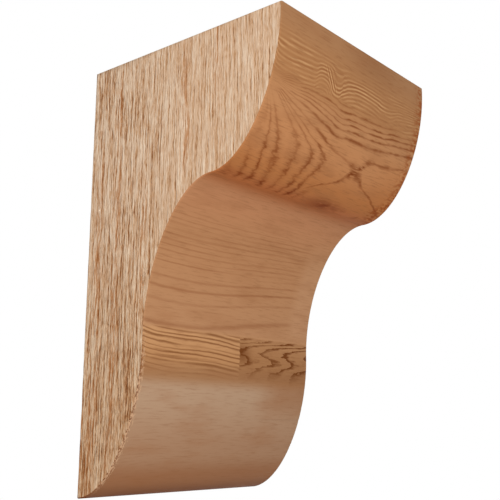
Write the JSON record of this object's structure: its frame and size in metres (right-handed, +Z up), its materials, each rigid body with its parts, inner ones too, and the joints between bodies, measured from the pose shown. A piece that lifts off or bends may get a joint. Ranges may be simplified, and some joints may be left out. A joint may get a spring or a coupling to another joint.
{
  "type": "wooden corbel bracket",
  "caption": "Solid timber corbel with an S-curved front, smooth on the curve and rough-sawn on its sides, that carries a beam, shelf or eave from a wall.",
  "frame": {"origin": "centre of the flat back face that lies on the wall", "axes": "+Z up, +Y into the wall, so that the curved front looks towards -Y, +X to the right seen from the front"},
  "size_m": [0.1524, 0.1461, 0.254],
  "materials": {
    "cedar": "unfinished, rough-sawn sides and a smooth curved front"
  },
  "bodies": {
    "root": {"corbel": "cedar"}
  },
  "joints": []
}
